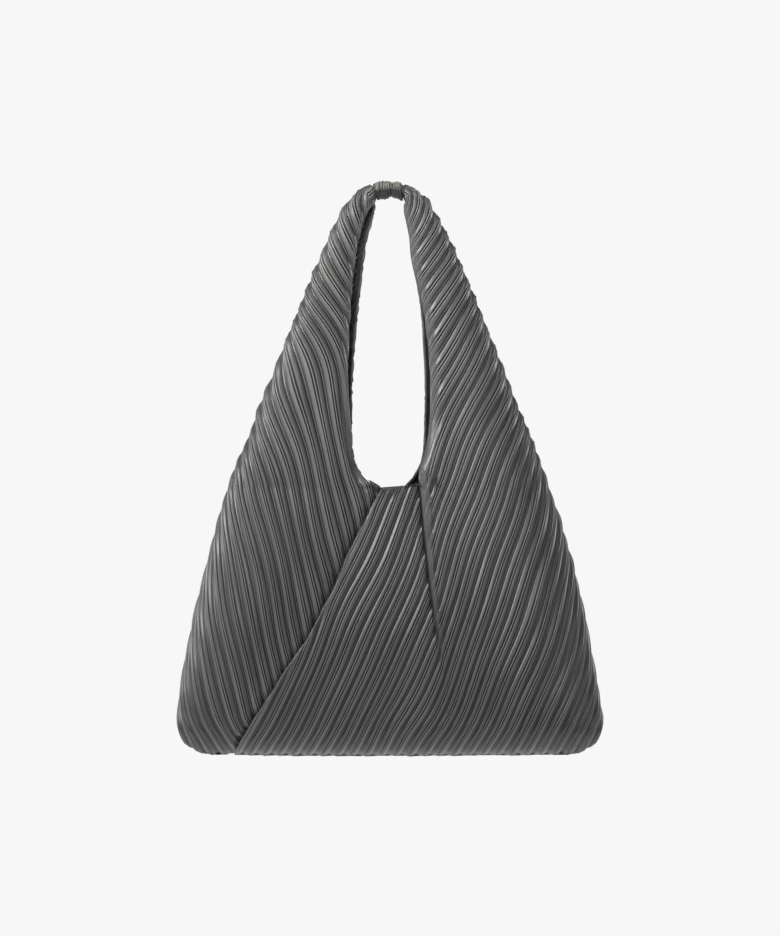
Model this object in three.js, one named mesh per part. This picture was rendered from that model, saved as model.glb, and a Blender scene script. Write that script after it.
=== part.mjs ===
// A pleated shoulder bag of satin cloth, hanging by the gathered wrap at the top of its handle.
// Millimetres, +Z up, the front faces -Y. The origin is the hang point, under the wrap.
//
// Two pleated panels make the bag. Each one is a sleeve of cloth that starts at a closed fold
// along the bottom line, goes up round its side of the pouch, front and back, and narrows to one
// arm of the handle. The right panel reaches past the middle and lies over the left one at a
// slanted seam. The two arms meet inside the wrap.

import * as THREE from "three";

// Whole bag
const BAG_WIDTH = 425; // across the pouch at its widest
const BAG_DEPTH = 104; // front to back at its fullest
const MOUTH_DROP = 289; // from the hang point down to the lowest point of the mouth
const POUCH_HEIGHT = 267; // from there down to the bottom line
const MOUTH_WIDTH = 72; // between the two arms at their widest
const MOUTH_SHIFT = -2; // the mouth's middle, sideways from the hang point
const MOUTH_ROUND = 53; // height of the round lower end of the mouth
const MOUTH_SQUARENESS = 2.3; // 2 would make that end an ellipse
const CORNER_WIDTH = 42; // the bottom corners, seen from the front
const CORNER_HEIGHT = 38; // also the height of the rounded bottom, seen from the side
const SIDE_ROUND = 105; // how far the cloth takes to turn from the side edge to the flat front
const HEM_ROUND = 13; // how far it takes to turn in at the mouth's rim
const ARM_TURN = 0.62; // most of an arm's width that the turn at its side takes
const ARM_HEM = 0.35; // most of an arm's width that the turn at its rim takes
const BOTTOM_LIFT = 2; // the bottom line rises this much towards its ends

// Cloth and pleats
const WALL = 1.4;
const PLEAT_PITCH = 14.5; // from one deep pair of folds to the next
const PLEAT_HEIGHT = 1.9; // valley to ridge
const RIM_PLEATS = 0.35; // share of that height that is left at a rim

// Seam, tuck and soft fold
const SEAM_TOP = -17; // where the slanted seam leaves the mouth, sideways
const SEAM_BOTTOM = -157; // where it meets the bottom line, sideways
const SEAM_OVERLAP = 8; // the left panel goes on under the right one
const CLEARANCE = 0.3; // between cloth and cloth
const SEAM_LEAD = 18; // how far before the seam it starts to go down
const SEAM_EASE = 1.2; // room for the curved layers to lie on each other
const TUCK_TOP = 35; // the tuck at the mouth, sideways
const TUCK_BOTTOM = 56; // the tuck where it fades out, sideways
const TUCK_LENGTH = 190;
const TUCK_FULL = 63; // length of it that has not started to fade
const TUCK_LIP = 4.2; // height of its rounded lip
const TUCK_WIDTH = 17;
const SOFT_FOLD_PLACE = -42; // a shallow fold under the left arm, sideways
const SOFT_FOLD_LENGTH = 100; // how far it reaches below the mouth
const SOFT_FOLD_FULL = 36; // length of it that has not started to fade
const SOFT_FOLD_DEPTH = 1.2;
const SOFT_FOLD_WIDTH = 16;

// Wrap round the top of the handle
const WRAP_LENGTH = 30;
const WRAP_SHIFT = -2; // its middle, sideways from the hang point
const WRAP_SLANT = 4; // its left end leans in at the bottom
const WRAP_HEIGHT = 19;
const WRAP_DEPTH = 21;
const WRAP_WALL = 2;
const WRAPPED_PLEATS = 0.25; // share of the pleats' height that is left inside it
const WRAPPED_RIM = 0.15; // how far the cloth's two rims stay apart inside it, as a share
const END_GAP = 1; // between the ends of the two arms inside it
const ENTRY = 0.6; // the arms are pinched this far outside its ends
const WRAP_SIDES = 16;
const GATHERS = 7;
const GATHER_HEIGHT = 0.9;

// Heights of one pleat repeat, as shares of PLEAT_HEIGHT from the middle of the cloth
const PLEAT = [
  { at: 0.22, height: -0.5 },
  { at: 0.5, height: 0.5 },
  { at: 0.78, height: -0.5 },
];

// Sections of the arms, from the wrap down to the lowest point of the mouth.
// outerDrop: from the wrap's top, share of the way down to the mouth's lowest point.
// innerDrop: from the hang point, share of MOUTH_DROP.
// outer: share of the way out from the wrap's end to half of BAG_WIDTH, on each side.
// inner: share of the way out from the wrap's end to half of MOUTH_WIDTH, on each side.
// depth: share of half of BAG_DEPTH. rim: share of that depth left at the rim.
// lean: how far the pleats lean outwards going up, in degrees from the vertical.
// spread: how much wider than PLEAT_PITCH the pleats lie.
const ARM = [
  { outerDrop: 0.026, innerDrop: 0.021, outerL: 0.05, outerR: 0.055, innerL: 0.05, innerR: 0.03,
    depth: 0.2, rim: 0.3, leanL: 22, leanR: 33, spread: 1.3 },
  { outerDrop: 0.052, innerDrop: 0.038, outerL: 0.1, outerR: 0.11, innerL: 0.08, innerR: 0.04,
    depth: 0.22, rim: 0.3, leanL: 22, leanR: 33, spread: 1.3 },
  { outerDrop: 0.091, innerDrop: 0.062, outerL: 0.153, outerR: 0.148, innerL: 0.14, innerR: 0.095,
    depth: 0.235, rim: 0.32, leanL: 22, leanR: 33, spread: 1.3 },
  { outerDrop: 0.169, innerDrop: 0.131, outerL: 0.215, outerR: 0.218, innerL: 0.36, innerR: 0.29,
    depth: 0.25, rim: 0.36, leanL: 23, leanR: 34, spread: 1.3 },
  { outerDrop: 0.244, innerDrop: 0.204, outerL: 0.266, outerR: 0.271, innerL: 0.5, innerR: 0.38,
    depth: 0.27, rim: 0.4, leanL: 26, leanR: 35, spread: 1.3 },
  { outerDrop: 0.341, innerDrop: 0.3, outerL: 0.332, outerR: 0.336, innerL: 0.64, innerR: 0.667,
    depth: 0.31, rim: 0.43, leanL: 33, leanR: 35, spread: 1.3 },
  { outerDrop: 0.438, innerDrop: 0.401, outerL: 0.394, outerR: 0.396, innerL: 0.76, innerR: 0.857,
    depth: 0.35, rim: 0.46, leanL: 34, leanR: 35, spread: 1.3 },
  { outerDrop: 0.536, innerDrop: 0.505, outerL: 0.455, outerR: 0.456, innerL: 0.88, innerR: 0.952,
    depth: 0.39, rim: 0.48, leanL: 25, leanR: 32, spread: 1.3 },
  { outerDrop: 0.633, innerDrop: 0.609, outerL: 0.512, outerR: 0.516, innerL: 0.96, innerR: 1.03,
    depth: 0.45, rim: 0.5, leanL: 15, leanR: 29, spread: 1.28 },
  { outerDrop: 0.731, innerDrop: 0.713, outerL: 0.577, outerR: 0.573, innerL: 1, innerR: 1.03,
    depth: 0.52, rim: 0.54, leanL: 16, leanR: 27, spread: 1.2 },
  { outerDrop: 0.828, innerDrop: 0.817, outerL: 0.632, outerR: 0.637, innerL: 1, innerR: 1,
    depth: 0.6, rim: 0.58, leanL: 17, leanR: 25, spread: 1.1 },
  { outerDrop: 0.912, innerDrop: 0.907, outerL: 0.69, outerR: 0.684, innerL: 1, innerR: 1,
    depth: 0.67, rim: 0.6, leanL: 14, leanR: 21, spread: 1.03 },
  { outerDrop: 0.964, innerDrop: 0.962, outerL: 0.722, outerR: 0.712, innerL: 1, innerR: 1,
    depth: 0.715, rim: 0.62, leanL: 12, leanR: 19, spread: 1 },
  { outerDrop: 0.99, innerDrop: 0.989, outerL: 0.735, outerR: 0.725, innerL: 1, innerR: 1,
    depth: 0.74, rim: 0.64, leanL: 12, leanR: 18, spread: 1 },
];

// Sections of the pouch, from the mouth down to the rounded bottom.
// drop: from the mouth's lowest point, share of the way down to the rounded bottom.
// outer, depth and lean as above. leanC: the lean between the seam and the tuck.
const POUCH = [
  { drop: 0.008, outerL: 0.744, outerR: 0.734, depth: 0.75, leanL: 11, leanC: 23, leanR: 17 },
  { drop: 0.06, outerL: 0.763, outerR: 0.755, depth: 0.787, leanL: 10.5, leanC: 22, leanR: 16.5 },
  { drop: 0.118, outerL: 0.783, outerR: 0.777, depth: 0.82, leanL: 10, leanC: 22, leanR: 16 },
  { drop: 0.249, outerL: 0.824, outerR: 0.822, depth: 0.885, leanL: 9, leanC: 21, leanR: 15 },
  { drop: 0.38, outerL: 0.865, outerR: 0.862, depth: 0.94, leanL: 9.5, leanC: 21, leanR: 15 },
  { drop: 0.511, outerL: 0.9, outerR: 0.897, depth: 0.98, leanL: 10, leanC: 21, leanR: 16 },
  { drop: 0.642, outerL: 0.935, outerR: 0.927, depth: 1, leanL: 11.5, leanC: 21, leanR: 17 },
  { drop: 0.773, outerL: 0.965, outerR: 0.954, depth: 0.99, leanL: 12, leanC: 21, leanR: 19 },
  { drop: 0.904, outerL: 0.99, outerR: 0.983, depth: 0.95, leanL: 14, leanC: 22, leanR: 22 },
  { drop: 1, outerL: 1, outerR: 1, depth: 0.9, leanL: 18, leanC: 25, leanR: 25 },
];
const BOTTOM_STEPS = 4; // sections round the bottom
const ARM_STEP = 18; // most from one section of an arm to the next
const BOTTOM_LEAN = 30;
const SAMPLES = 96; // points along half a section, before they are shared out to the pleats
const NEAR_END = 0.05; // no fold lies closer to the end of a section, as a share of a repeat
const SAME_PHASE = 1e-6;

// Places that follow from the sizes
const bottomZ = -MOUTH_DROP - POUCH_HEIGHT;
const mouthCentreZ = -MOUTH_DROP + MOUTH_ROUND;
const mouthHalf = MOUTH_WIDTH / 2;
const wrapHalf = WRAP_LENGTH / 2;
const wrapMiddleZ = WRAP_HEIGHT / 2;
const clothBelow = PLEAT_HEIGHT / 2 + WALL; // from the middle of the pleats to the inside
const seamDip = clothBelow + CLEARANCE + SEAM_EASE;

const rounding = (share) => Math.sqrt(1 - (1 - Math.min(Math.max(share, 0), 1)) ** 2);
const { lerp, smoothstep } = THREE.MathUtils;
const bell = (distance, width) => Math.exp(-((2 * distance / width) ** 2));

// Sideways place of the slanted seam and of the tuck at a height
function seamX(z) {
  const share = (-MOUTH_DROP - z) / POUCH_HEIGHT;

  return lerp(SEAM_TOP, SEAM_BOTTOM, share);
}

function tuckX(z) {
  const share = (-MOUTH_DROP - z) / TUCK_LENGTH;
  return lerp(TUCK_TOP, TUCK_BOTTOM, Math.max(share, 0));
}

const tuckStrength = (z) => smoothstep(z, -MOUTH_DROP - TUCK_LENGTH, -MOUTH_DROP - TUCK_FULL);

// Share of the dip by which the left panel goes under the right one
const underSeam = (x, z) => smoothstep(x - seamX(z), -SEAM_LEAD, -SEAM_LEAD / 2);

// Half the mouth's width at a height in its round lower end
function mouthHalfAt(z) {
  const share = Math.min(Math.max((mouthCentreZ - z) / MOUTH_ROUND, 0), 1);
  return mouthHalf * (1 - share ** MOUTH_SQUARENESS) ** (1 / MOUTH_SQUARENESS);
}

// Distance from a point below the mouth's middle to the rim of its round end
function rimDistance(x, z) {
  const across = (x - MOUTH_SHIFT) / mouthHalf;
  const down = (mouthCentreZ - z) / MOUTH_ROUND;
  const size = Math.hypot(across, down);
  const slope = Math.hypot(across / mouthHalf, down / MOUTH_ROUND) / size;
  return (size - 1) / slope;
}

// All sections of one side, from the bottom line up to the middle of the wrap.
// side is 1 for the right panel and -1 for the left one. A section is a straight line, seen from
// the front, from its outer point towards its inner point, and the cloth bulges to both sides.
function sectionsOf(side) {
  const sections = [...bottomSections(side), ...pouchSections(side), ...armSections(side)];
  for (const section of sections) {
    const dx = section.innerX - section.outerX;
    const dz = section.innerZ - section.outerZ;
    section.length = Math.hypot(dx, dz);
    section.along = { x: dx / section.length, z: dz / section.length };
    section.reach = section.arm
      ? section.length
      : Math.abs(section.outerX - panelEdgeX(side, section.outerZ));
    section.curve = curveOf(section);
  }
  setPleatShifts(sections, side);
  return sections;
}

const wrapEnd = (side) => WRAP_SHIFT + side * wrapHalf;
const outerX = (side, share) => lerp(wrapEnd(side), (side * BAG_WIDTH) / 2, share);
const outerKey = (side) => (side > 0 ? "outerR" : "outerL");
const leanKey = (side) => (side > 0 ? "leanR" : "leanL");

// Sections round the bottom, where both the corners and the depth follow a quarter circle
function bottomSections(side) {
  const steps = Array.from({ length: BOTTOM_STEPS }, (_, i) => (i / BOTTOM_STEPS) * (Math.PI / 2));
  const cornerX = (which, angle) =>
    outerX(which, 1) - which * CORNER_WIDTH * (1 - Math.sin(angle));
  return steps.map((angle) => {
    const z = bottomZ + CORNER_HEIGHT * (1 - Math.cos(angle));
    return {
      outerX: cornerX(side, angle),
      outerZ: z,
      innerX: 0,
      innerZ: z,
      oppositeX: cornerX(-side, angle),
      depth: (BAG_DEPTH / 2) * POUCH.at(-1).depth * Math.sin(angle),
      lean: BOTTOM_LEAN,
      leanMiddle: BOTTOM_LEAN,
      pitch: PLEAT_PITCH,
    };
  });
}

function pouchSections(side) {
  return [...POUCH].reverse().map((row) => {
    const z = -MOUTH_DROP - row.drop * (POUCH_HEIGHT - CORNER_HEIGHT);
    return {
      outerX: outerX(side, row[outerKey(side)]),
      outerZ: z,
      innerX: 0,
      innerZ: z,
      oppositeX: outerX(-side, row[outerKey(-side)]),
      depth: (BAG_DEPTH / 2) * row.depth,
      lean: row[leanKey(side)],
      leanMiddle: side > 0 ? row.leanC : row.leanL,
      pitch: PLEAT_PITCH,
    };
  });
}

// Sections of an arm, and of its end inside the wrap, with more between where they lie far apart
function armSections(side) {
  const lowEnd = wrapEnd(side) + (side < 0 ? WRAP_SLANT : 0);
  const rows = [...ARM].reverse().map((row) => ({
    outerX: outerX(side, row[outerKey(side)]),
    outerZ: WRAP_HEIGHT - row.outerDrop * (MOUTH_DROP + WRAP_HEIGHT),
    innerX: lerp(lowEnd, MOUTH_SHIFT + side * mouthHalf, side > 0 ? row.innerR : row.innerL),
    innerZ: -row.innerDrop * MOUTH_DROP,
    depth: (BAG_DEPTH / 2) * row.depth,
    rim: row.rim,
    lean: row[leanKey(side)],
    pitch: PLEAT_PITCH * row.spread,
  }));
  const refined = rows.flatMap((row, i) => {
    if (i === rows.length - 1) return [row];
    const next = rows[i + 1];
    const steps = Math.ceil(Math.hypot(next.outerX - row.outerX, next.outerZ - row.outerZ) / ARM_STEP);
    return Array.from({ length: steps }, (_, k) => between(rows, i, k / steps));
  });
  const last = rows.at(-1);
  const height = WRAP_HEIGHT - 2 * (WRAP_WALL + CLEARANCE) - PLEAT_HEIGHT * WRAPPED_PLEATS;
  const depth = WRAP_DEPTH - 2 * (WRAP_WALL + CLEARANCE) - PLEAT_HEIGHT * WRAPPED_PLEATS;
  for (const place of [1, 0.5, 0]) {
    const x = WRAP_SHIFT + side * lerp(END_GAP / 2, wrapHalf + ENTRY, place);
    refined.push({
      ...last,
      outerX: x,
      outerZ: wrapMiddleZ + height / 2,
      innerX: x + (side < 0 ? WRAP_SLANT * place : 0),
      innerZ: wrapMiddleZ - height / 2,
      depth: depth / 2,
      rim: WRAPPED_RIM,
      inWrap: true,
    });
  }
  for (const section of refined) {
    section.arm = true;
    section.leanMiddle = section.lean;
    if (section.innerZ < mouthCentreZ) {
      section.innerX = MOUTH_SHIFT + side * mouthHalfAt(section.innerZ);
    }
  }
  return refined;
}

// A row between rows i and i + 1, on a smooth curve through their neighbours
function between(rows, i, share) {
  const [a, b, c, d] = [-1, 0, 1, 2].map((k) => rows[Math.min(Math.max(i + k, 0), rows.length - 1)]);
  const row = {};
  for (const name of Object.keys(b)) {
    const slopeB = (c[name] - a[name]) / 2;
    const slopeC = (d[name] - b[name]) / 2;
    const step = c[name] - b[name];
    const bend = (3 * step - 2 * slopeB - slopeC) * share ** 2;
    row[name] = b[name] + slopeB * share + bend + (slopeB + slopeC - 2 * step) * share ** 3;
  }
  return row;
}

// Where a panel ends at the slanted seam
const panelEdgeX = (side, z) => seamX(z) + (side > 0 ? 0 : SEAM_OVERLAP);

// The front of one section as points from its outer edge to the panel's edge, each with its girth,
// the length of cloth from the outer edge. The back is the same, mirrored.
function curveOf(section) {
  const { along, length, reach, depth, arm, rim, inWrap } = section;
  const turn = arm ? Math.min(SIDE_ROUND, length * (inWrap ? 0.5 : ARM_TURN)) : SIDE_ROUND;
  const hem = arm ? Math.min(HEM_ROUND, length * (inWrap ? 0.5 : ARM_HEM)) : HEM_ROUND;
  const mouthRim = ARM.at(-1).rim;
  const points = [];
  let girth = 0;
  for (let i = 0; i <= SAMPLES; i++) {
    const share = i / SAMPLES;
    const d = reach * share ** 2 * (3 - 2 * share);
    const x = section.outerX + along.x * d;
    const z = section.outerZ + along.z * d;
    let bulge = rounding(d / turn);
    if (arm) {
      bulge *= rim + (1 - rim) * rounding((length - d) / hem);
    } else {
      bulge *= rounding(Math.abs(x - section.oppositeX) / turn);
      bulge *= mouthRim + (1 - mouthRim) * rounding(rimDistance(x, z) / hem);
    }
    const low = 1 - smoothstep(z - bottomZ, 0, CORNER_HEIGHT);
    const point = { x, y: -depth * bulge, z: z + BOTTOM_LIFT * low * (x / (BAG_WIDTH / 2)) ** 2, d };
    if (i > 0) {
      const last = points[i - 1];
      girth += Math.hypot(d - last.d, point.y - last.y);
    }
    point.girth = girth;
    points.push(point);
  }
  return points;
}

// Where the pleats lie along each section. A pleat that crosses the middle of one section is
// followed by its lean up to the next one, and keeps its phase there.
function setPleatShifts(sections, side) {
  const follow = (lower, upper, degrees, shift) => {
    const lean = THREE.MathUtils.degToRad(degrees);
    const direction = { x: side * Math.sin(lean), z: Math.cos(lean) };
    const middle = lower.length / 2;
    const from = {
      x: lower.outerX + lower.along.x * middle - upper.outerX,
      z: lower.outerZ + lower.along.z * middle - upper.outerZ,
    };
    const cross = (a, b) => a.x * b.z - a.z * b.x;
    const reached = cross(from, direction) / cross(upper.along, direction);
    return reached - (upper.pitch * (middle - shift)) / lower.pitch;
  };
  sections.forEach((section, i) => {
    if (i === 0) {
      section.shift = section.middleShift = 0;
      return;
    }
    const lower = sections[i - 1];
    const lean = (lower.lean + section.lean) / 2;
    const leanMiddle = (lower.leanMiddle + section.leanMiddle) / 2;
    section.shift = follow(lower, section, lean, lower.shift);
    section.middleShift = follow(lower, section, leanMiddle, lower.middleShift);
  });
}

// Height of the pleats at a phase, where 1 is one repeat
function pleatHeight(phase) {
  const at = phase - Math.floor(phase);
  const last = PLEAT.at(-1);
  const folds = [{ ...last, at: last.at - 1 }, ...PLEAT, { ...PLEAT[0], at: PLEAT[0].at + 1 }];
  const next = folds.findIndex((fold) => fold.at > at);
  const [a, b] = [folds[next - 1], folds[next]];
  return PLEAT_HEIGHT * THREE.MathUtils.mapLinear(at, a.at, b.at, a.height, b.height);
}

// One section as a row of points in order of their pleat phase, from the back edge round to the
// front edge, with a point at each fold
function rowOf(section, side, folds) {
  const blend = (x, z) =>
    side > 0 && !section.arm ? smoothstep(tuckX(z) + TUCK_WIDTH / 2 - x, 0, TUCK_WIDTH) : 0;
  const front = section.curve.map((p) => {
    const shift = lerp(section.shift, section.middleShift, blend(p.x, p.z));
    return { ...p, phase: (p.girth - shift) / section.pitch };
  });
  const back = section.curve.slice(1).map((p) => {
    return { ...p, y: -p.y, phase: (-p.girth - section.shift) / section.pitch };
  });
  const line = [...back.reverse(), ...front];
  const [first, last] = [line[0], line.at(-1)];
  const row = [first];
  let j = 0;
  for (let repeat = Math.floor(first.phase); repeat <= last.phase; repeat++) {
    for (const at of folds) {
      const phase = repeat + at;
      if (phase < first.phase + NEAR_END || phase > last.phase - NEAR_END) continue;
      while (line[j + 1].phase < phase) j++;
      const share = (phase - line[j].phase) / (line[j + 1].phase - line[j].phase);
      const mix = (name) => lerp(line[j][name], line[j + 1][name], share);
      row.push({ x: mix("x"), y: mix("y"), z: mix("z"), d: mix("d"), phase });
    }
  }
  row.push(last);
  for (const point of row) point.section = section;
  return row;
}

// Triangles between two rows of points in order of their phase
function zip(low, high, faces) {
  let i = 0;
  let j = 0;
  while (i < low.length - 1 || j < high.length - 1) {
    const lowNext = i < low.length - 1 ? low[i + 1].phase : Infinity;
    const highNext = j < high.length - 1 ? high[j + 1].phase : Infinity;
    if (lowNext <= highNext) {
      if (low[i].id !== low[i + 1].id) faces.push([low[i].id, high[j].id, low[i + 1].id]);
      i++;
    } else {
      faces.push([low[i].id, high[j].id, high[j + 1].id]);
      j++;
    }
  }
}

// A sheet of cloth through all rows, closed along the bottom line by a fold where the front and
// the back share their points
function sheetOf(rows, side) {
  const points = [];
  const faces = [];
  const isTwin = (p, q) => p.id !== undefined && Math.abs(p.phase + q.phase) < SAME_PHASE;
  rows.forEach((row, i) => {
    for (const point of row) {
      const twin = i === 0 && row.find((p) => isTwin(p, point));
      point.id = twin ? twin.id : points.push(point) - 1;
    }
    if (i > 0) zip(rows[i - 1], row, faces);
  });
  const normals = points.map(() => new THREE.Vector3());
  const [a, b, c] = [new THREE.Vector3(), new THREE.Vector3(), new THREE.Vector3()];
  for (const face of faces) {
    const [p, q, r] = face.map((id) => points[id]);
    a.set(q.x - p.x, q.y - p.y, q.z - p.z);
    b.set(r.x - p.x, r.y - p.y, r.z - p.z);
    c.crossVectors(a, b);
    for (const id of face) normals[id].add(c);
  }
  normals.forEach((normal, id) => {
    const { y, z, section } = points[id];
    normal.multiplyScalar(side);
    if (section.inWrap) normal.set(0, y, z - wrapMiddleZ); // the sleeve is a plain tube there
    normal.normalize();
  });
  return { points, faces, normals };
}

// Folds bigger than a pleat: the tuck's rounded lip, the soft fold and the dip under the seam
function bigFolds(point, side) {
  const { x, y, z } = point;
  if (point.section.arm && z > mouthCentreZ) return 0;
  let height = 0;
  if (side > 0 && y < 0) {
    height += TUCK_LIP * tuckStrength(z) * bell(x - tuckX(z) - TUCK_WIDTH / 2, TUCK_WIDTH);
  }
  if (side < 0) {
    const low = smoothstep(z, -MOUTH_DROP - SOFT_FOLD_LENGTH, -MOUTH_DROP - SOFT_FOLD_FULL);
    const high = 1 - smoothstep(z, -MOUTH_DROP, mouthCentreZ);
    height -= SOFT_FOLD_DEPTH * low * high * bell(x - SOFT_FOLD_PLACE, SOFT_FOLD_WIDTH);
    if (!point.section.arm) height -= seamDip * underSeam(x, z);
  }
  return height;
}

// Share of the pleats' height that is left near a rim or in the wrap
function pleatStrength(point, side) {
  const { section, x, z } = point;
  if (section.inWrap) return WRAPPED_PLEATS;
  const fromRim = section.arm ? section.length - point.d : rimDistance(x, z);
  const seam = side < 0 && !section.arm ? 1 - underSeam(x, z) : 1;
  return seam * lerp(RIM_PLEATS, 1, smoothstep(fromRim, 0, HEM_ROUND));
}

function panel(side) {
  const sections = sectionsOf(side);
  const every = PLEAT.map((fold) => fold.at);
  const ridges = [PLEAT[1].at]; // enough for the plain inside, but not where an arm is narrow
  const outerRows = sections.map((section) => rowOf(section, side, every));
  const innerRows = sections.map((section) =>
    rowOf(section, side, section.arm && section.length < 2 * HEM_ROUND ? every : ridges));
  const outer = sheetOf(outerRows, side);
  const inner = sheetOf(innerRows, side);
  const positions = [];
  outer.points.forEach((p, i) => {
    const height = pleatStrength(p, side) * pleatHeight(p.phase) + bigFolds(p, side);
    positions.push(new THREE.Vector3(p.x, p.y, p.z).addScaledVector(outer.normals[i], height));
  });
  inner.points.forEach((p, i) => {
    const height = bigFolds(p, side) - clothBelow;
    positions.push(new THREE.Vector3(p.x, p.y, p.z).addScaledVector(inner.normals[i], height));
  });

  // The inner sheet's faces look inwards, and rims join the two sheets
  const offset = outer.points.length;
  const faces = [...outer.faces];
  for (const [p, q, r] of inner.faces) faces.push([p + offset, r + offset, q + offset]);
  for (const row of innerRows) for (const p of row) p.rimId = p.id + offset;
  for (let i = 1; i < outerRows.length; i++) {
    for (const [end, flip] of [[0, true], [-1, false]]) {
      const low = outerRows[i - 1].at(end).id;
      const high = outerRows[i].at(end).id;
      const lowIn = innerRows[i - 1].at(end).rimId;
      const highIn = innerRows[i].at(end).rimId;
      if (flip) faces.push([low, lowIn, high], [high, lowIn, highIn]);
      else faces.push([low, high, lowIn], [high, highIn, lowIn]);
    }
  }
  const top = [];
  zip(outerRows.at(-1), innerRows.at(-1).map((p) => ({ ...p, id: p.rimId })), top);
  faces.push(...top);
  if (side < 0) for (const face of faces) face.reverse();
  return solid(positions, faces);
}

function solid(positions, faces) {
  const geometry = new THREE.BufferGeometry().setFromPoints(positions);
  geometry.setIndex(faces.flat());
  geometry.computeVertexNormals();
  return geometry;
}

// The wrap: a closed band that goes once round the handle, with its gathers along its length
function wrap() {
  const along = GATHERS * 2; // a valley and a ridge each
  const positions = [];
  const faces = [];
  const loop = 2 * (along + 1);
  for (let i = 0; i < WRAP_SIDES; i++) {
    const angle = (i / WRAP_SIDES) * 2 * Math.PI;
    const low = 0.5 - 0.5 * Math.sin(angle);
    for (let j = 0; j < loop; j++) {
      const outside = j <= along;
      const share = outside ? j / along : (loop - 1 - j) / along;
      const left = WRAP_SHIFT - wrapHalf + WRAP_SLANT * low;
      const right = WRAP_SHIFT + wrapHalf;
      const gather = GATHER_HEIGHT * (0.5 - 0.5 * Math.cos(share * along * Math.PI));
      const inwards = outside ? GATHER_HEIGHT - gather : WRAP_WALL;
      positions.push(
        new THREE.Vector3(
          lerp(left, right, share),
          (WRAP_DEPTH / 2 - inwards) * Math.cos(angle),
          wrapMiddleZ + (WRAP_HEIGHT / 2 - inwards) * Math.sin(angle),
        ),
      );
      const next = ((i + 1) % WRAP_SIDES) * loop;
      const p = i * loop + j;
      const q = i * loop + ((j + 1) % loop);
      const r = next + j;
      const s = next + ((j + 1) % loop);
      faces.push([p, r, q], [q, r, s]);
    }
  }
  return solid(positions, faces);
}

const cloth = new THREE.MeshStandardMaterial({ color: 0x4f5052, roughness: 0.45, metalness: 0 });
const wrapCloth = new THREE.MeshStandardMaterial({ color: 0x55554e, roughness: 0.45, metalness: 0 });

const bag = new THREE.Group();
for (const [name, geometry, material] of [
  ["right_panel", panel(1), cloth],
  ["left_panel", panel(-1), cloth],
  ["handle_wrap", wrap(), wrapCloth],
]) {
  const mesh = new THREE.Mesh(geometry, material);
  mesh.name = name;
  bag.add(mesh);
}

export default bag;
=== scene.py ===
# %% [markdown]
# # A pleated shoulder bag
# The bag is soft satin, heat-set in fine pleats, and it hangs by the top of its handle. Two panels of
# cloth make it. Each is a flat sleeve that starts at the bottom line and narrows to one arm of the
# handle. The solids of the frame already hold those sleeves with one plain pleat for each repeat.
# Here the same sleeves are worked out again as finer surfaces, and they take the place of the solids.

import bpy
import numpy as np
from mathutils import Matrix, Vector


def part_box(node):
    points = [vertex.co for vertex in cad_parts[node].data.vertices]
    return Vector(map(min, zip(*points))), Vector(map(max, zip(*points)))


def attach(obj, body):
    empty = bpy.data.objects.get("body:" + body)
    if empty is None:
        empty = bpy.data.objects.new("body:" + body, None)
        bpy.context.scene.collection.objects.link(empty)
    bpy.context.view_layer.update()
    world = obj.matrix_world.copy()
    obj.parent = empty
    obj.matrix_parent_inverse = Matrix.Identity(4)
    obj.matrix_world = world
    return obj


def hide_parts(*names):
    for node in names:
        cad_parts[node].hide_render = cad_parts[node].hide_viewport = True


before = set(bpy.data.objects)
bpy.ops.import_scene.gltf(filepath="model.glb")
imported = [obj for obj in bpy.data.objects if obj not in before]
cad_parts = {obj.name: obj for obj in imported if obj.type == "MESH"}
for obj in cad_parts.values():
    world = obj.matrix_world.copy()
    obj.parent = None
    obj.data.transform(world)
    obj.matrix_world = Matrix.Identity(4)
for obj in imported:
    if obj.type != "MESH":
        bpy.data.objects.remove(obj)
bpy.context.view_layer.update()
MM = 0.001
print("solids in the frame:", sorted(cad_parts))

# %% [markdown]
# ## Sizes
# Shapes are worked out in millimetres and become metres when they go into a mesh. The overall sizes
# come from the frame's own boxes, less the height of the pleats that stand on them. The rest repeats
# the sizes that shape the solids, so that the fine cloth lies where the solids are.

# %% Sizes from the frame
SOLID_PLEAT = 1.9  # height of the pleats on the solids
boxes = {name: np.array(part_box(name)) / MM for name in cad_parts}
low = np.min([box[0] for box in boxes.values()], axis=0)
high = np.max([box[1] for box in boxes.values()], axis=0)
wrap_low, wrap_high = boxes["handle_wrap"]
HALF_WIDTH = (high[0] - low[0] - SOLID_PLEAT) / 2
HALF_DEPTH = high[1] - SOLID_PLEAT / 2
BOTTOM_Z = low[2] + SOLID_PLEAT / 2
WRAP_HEIGHT = wrap_high[2]
WRAP_HALF_DEPTH = wrap_high[1]
WRAP_HALF_LENGTH = (wrap_high[0] - wrap_low[0]) / 2
WRAP_SHIFT = (wrap_high[0] + wrap_low[0]) / 2
WRAP_MIDDLE_Z = WRAP_HEIGHT / 2
print(f"bag {2 * HALF_WIDTH:.0f} x {2 * HALF_DEPTH:.0f} mm, bottom line at {BOTTOM_Z:.0f} mm")

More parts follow.
